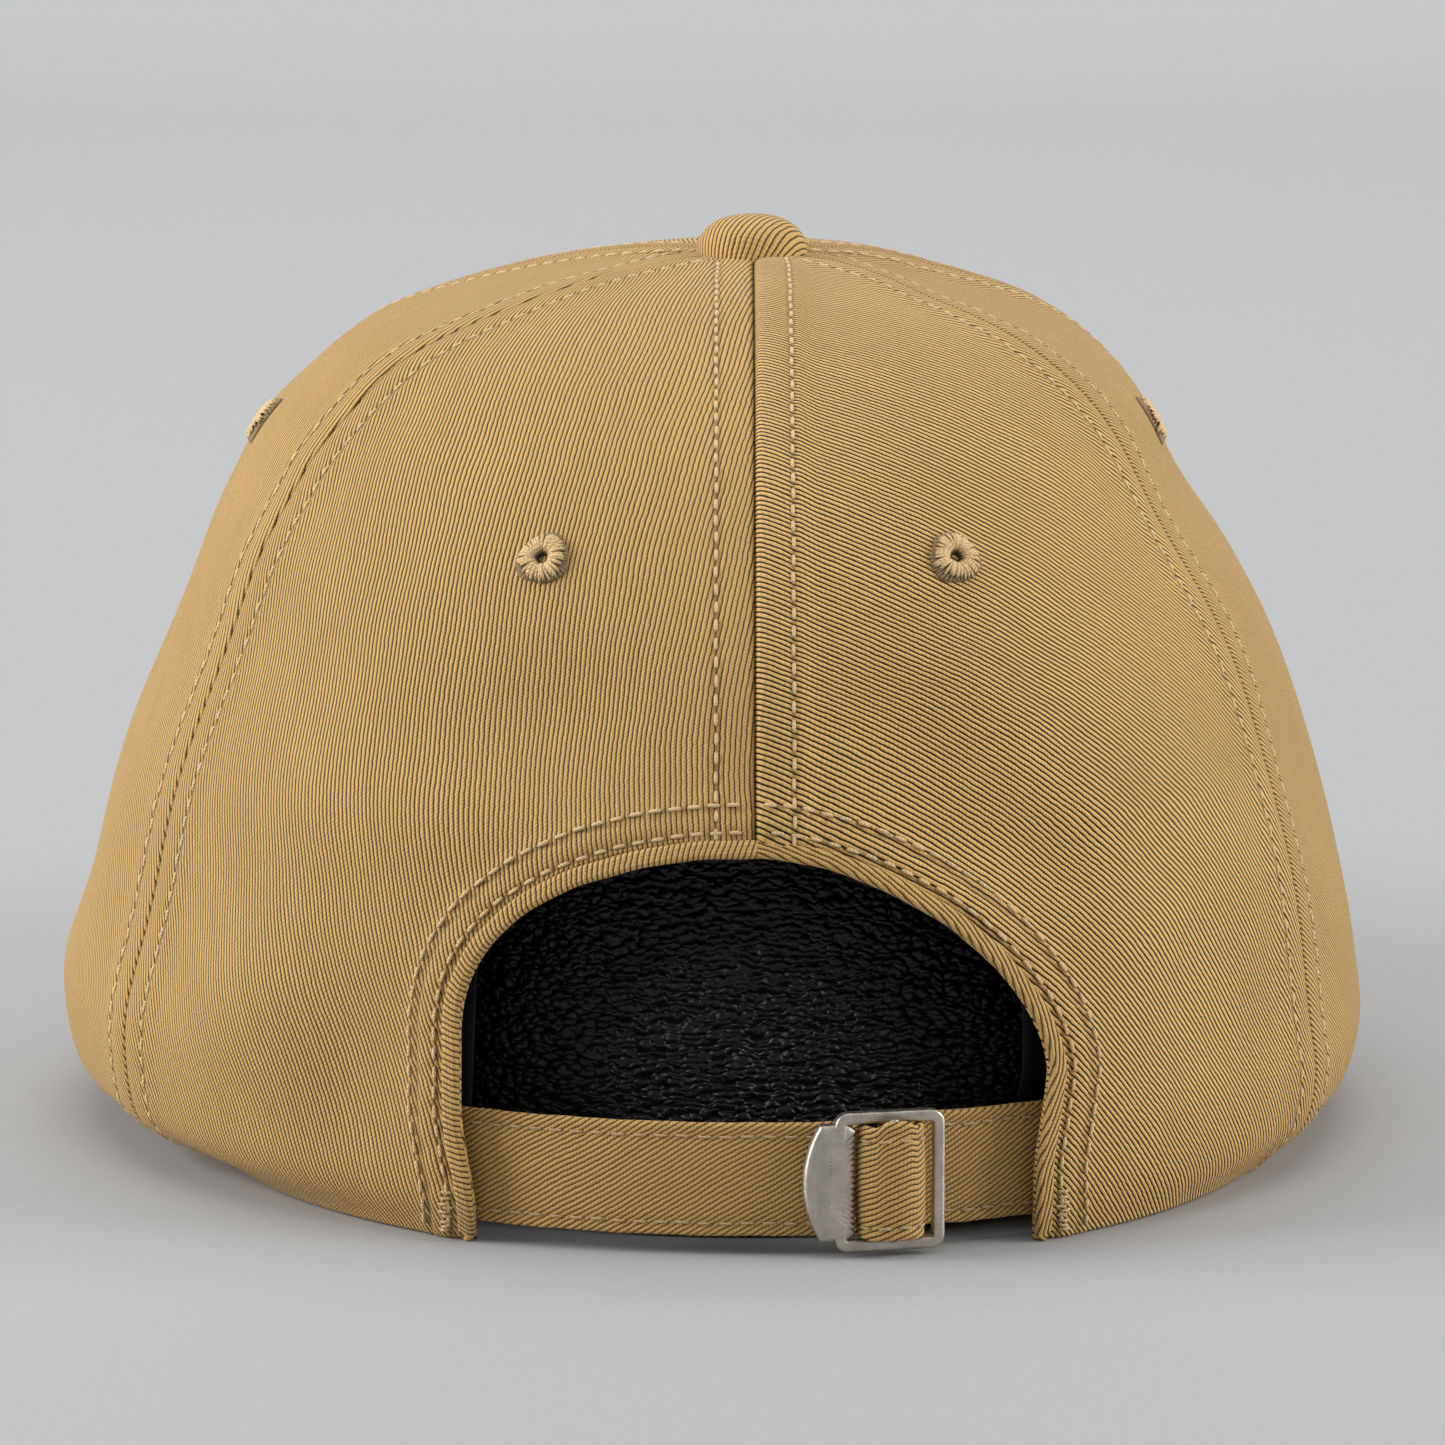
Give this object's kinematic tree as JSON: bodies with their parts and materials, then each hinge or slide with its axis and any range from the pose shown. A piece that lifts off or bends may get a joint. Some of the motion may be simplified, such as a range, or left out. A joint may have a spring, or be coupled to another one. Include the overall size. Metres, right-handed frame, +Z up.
{
  "type": "baseball cap",
  "caption": "Panelled twill baseball cap with a curved visor, a covered button, a rear arch opening and a cloth strap closed by a tilting metal buckle.",
  "frame": {"origin": "centre of the cap's bounding box on the plane the hem stands on", "axes": "+Z up through the crown, +Y towards the rear closure, -Y towards the visor, +X towards the wearer's left"},
  "size_m": [0.1798, 0.2552, 0.1205],
  "materials": {
    "twill": "cotton twill with a diagonal wale",
    "strap_twill": "cotton twill, folded and topstitched",
    "black_stiffener": "fused black stiffening cloth",
    "black_tape": "woven tape",
    "sweatband_cloth": "folded cotton band",
    "thread": "embroidery thread",
    "nickel": "brushed antique nickel",
    "button_metal": "plain pressed metal",
    "visor_plastic": "moulded board",
    "insert_plastic": "pebbled sheet"
  },
  "bodies": {
    "crown": {"panel_rear_left": "twill", "panel_rear_right": "twill", "panel_side_left": "twill", "panel_side_right": "twill", "panel_front_left": "twill", "panel_front_right": "twill", "stiffener_front_left": "black_stiffener", "stiffener_front_right": "black_stiffener", "tape_rear_center": "black_tape", "tape_rear_left": "black_tape", "tape_rear_right": "black_tape", "tape_front_left": "black_tape", "tape_front_right": "black_tape", "tape_front_center": "black_tape", "eyelet_rear_left": "thread", "eyelet_rear_right": "thread", "eyelet_side_left": "thread", "eyelet_side_right": "thread", "eyelet_front_left": "thread", "eyelet_front_right": "thread", "button_cover": "twill", "button_shell": "button_metal", "button_post": "button_metal", "button_back": "button_metal", "sweatband": "sweatband_cloth", "hem_fold_left": "twill", "hem_fold_right": "twill", "rear_facing": "twill", "visor_top_cloth": "twill", "visor_board": "visor_plastic", "visor_bottom_cloth": "twill", "rear_insert": "insert_plastic", "strap_run": "strap_twill", "strap_tail": "strap_twill", "bar_tack_left": "thread", "bar_tack_right": "thread"},
    "closure": {"anchor_strap": "strap_twill"},
    "buckle_body": {"buckle": "nickel"}
  },
  "joints": [
    {"name": "closure_slide", "type": "hinge", "parent": "crown", "child": "closure", "pos_m": [0, 0.04584, 0.0096], "axis": [0, 0, -1], "range_deg": [-7, 16], "deforming": ["strap_run", "strap_tail"]},
    {"name": "buckle_tilt", "type": "hinge", "parent": "closure", "child": "buckle_body", "pos_m": [-0.01704, 0.12399, 0.0096], "axis": [0, 0, 1], "range_deg": [0, 20]}
  ]
}
